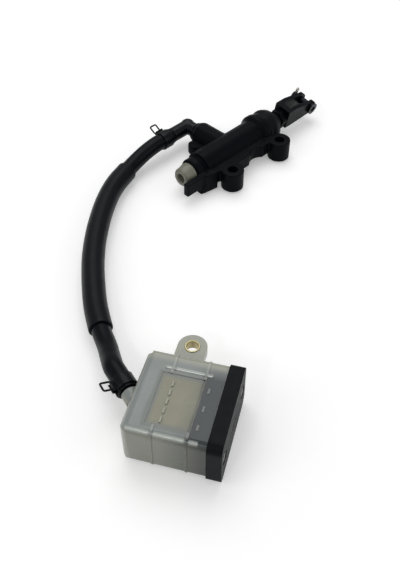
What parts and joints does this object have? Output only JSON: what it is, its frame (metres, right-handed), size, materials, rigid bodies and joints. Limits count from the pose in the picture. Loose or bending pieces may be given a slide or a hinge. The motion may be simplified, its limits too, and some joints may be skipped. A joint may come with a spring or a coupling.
{
  "type": "brake master cylinder",
  "caption": "Compact hydraulic brake master cylinder with two mounting bosses, pushrod with clevis, supply hose and a separate see-through fluid reservoir.",
  "frame": {"origin": "midway between the two mounting holes, on the mounting face (the undersides of the bosses, z = 0)", "axes": "+X along the cylinder bore towards the pushrod and clevis, +Z along the mounting holes away from the mounting face, +Y from the holes towards the bore and the inlet"},
  "size_m": [0.3065, 0.2296, 0.0322],
  "materials": {
    "body_black": "satin",
    "piston_alloy": "satin",
    "seal_rubber": "matte",
    "boot_rubber": "matte",
    "hose_rubber": "satin",
    "spring_steel": "satin",
    "zinc_steel": "satin",
    "black_steel": "satin",
    "clamp_steel": "satin",
    "black_plastic": "matte",
    "milky_plug": "satin",
    "milky_tank": "satin",
    "collar_brass": "satin"
  },
  "bodies": {
    "cylinder": {"cylinder_body": "body_black", "stop_washer": "zinc_steel", "rod_circlip": "spring_steel", "return_spring": "spring_steel", "dust_boot": "boot_rubber", "inlet_elbow": "black_plastic", "elbow_seal": "seal_rubber", "elbow_clip": "spring_steel", "supply_hose": "hose_rubber", "hose_sleeve": "hose_rubber", "hose_clamps": "clamp_steel", "reservoir_tank": "milky_tank", "mount_collar": "collar_brass"},
    "piston": {"piston": "piston_alloy", "primary_cup": "seal_rubber", "secondary_cup": "seal_rubber", "spring_seat": "spring_steel"},
    "rod": {"pushrod": "zinc_steel", "lock_nut": "black_steel", "clevis": "black_steel"},
    "pin": {"clevis_pin": "zinc_steel", "split_pin": "zinc_steel"},
    "plug": {"outlet_plug": "milky_plug"},
    "lid": {"reservoir_cap": "black_plastic", "diaphragm_plate": "milky_plug", "diaphragm": "seal_rubber", "cap_screws": "zinc_steel"}
  },
  "joints": [
    {"name": "piston_slide", "type": "slide", "parent": "cylinder", "child": "piston", "axis": [-1, 0, 0], "range_m": [0, 0.012], "stiffness_N_per_m": 1500, "deforming": ["return_spring", "dust_boot"]},
    {"name": "rod_turn", "type": "hinge", "parent": "piston", "child": "rod", "pos_m": [0.0165, 0.0205, 0.012], "axis": [1, 0, 0], "continuous": true},
    {"name": "pin_turn", "type": "hinge", "parent": "rod", "child": "pin", "pos_m": [0.079, 0.0205, 0.012], "axis": [0, 0.9781, 0.2079], "continuous": true},
    {"name": "plug_pull", "type": "slide", "parent": "cylinder", "child": "plug", "axis": [-1, 0, 0], "range_m": [0, 0.02]},
    {"name": "lid_lift", "type": "slide", "parent": "cylinder", "child": "lid", "axis": [0.5, -0.866, 0], "range_m": [0, 0.03]}
  ]
}
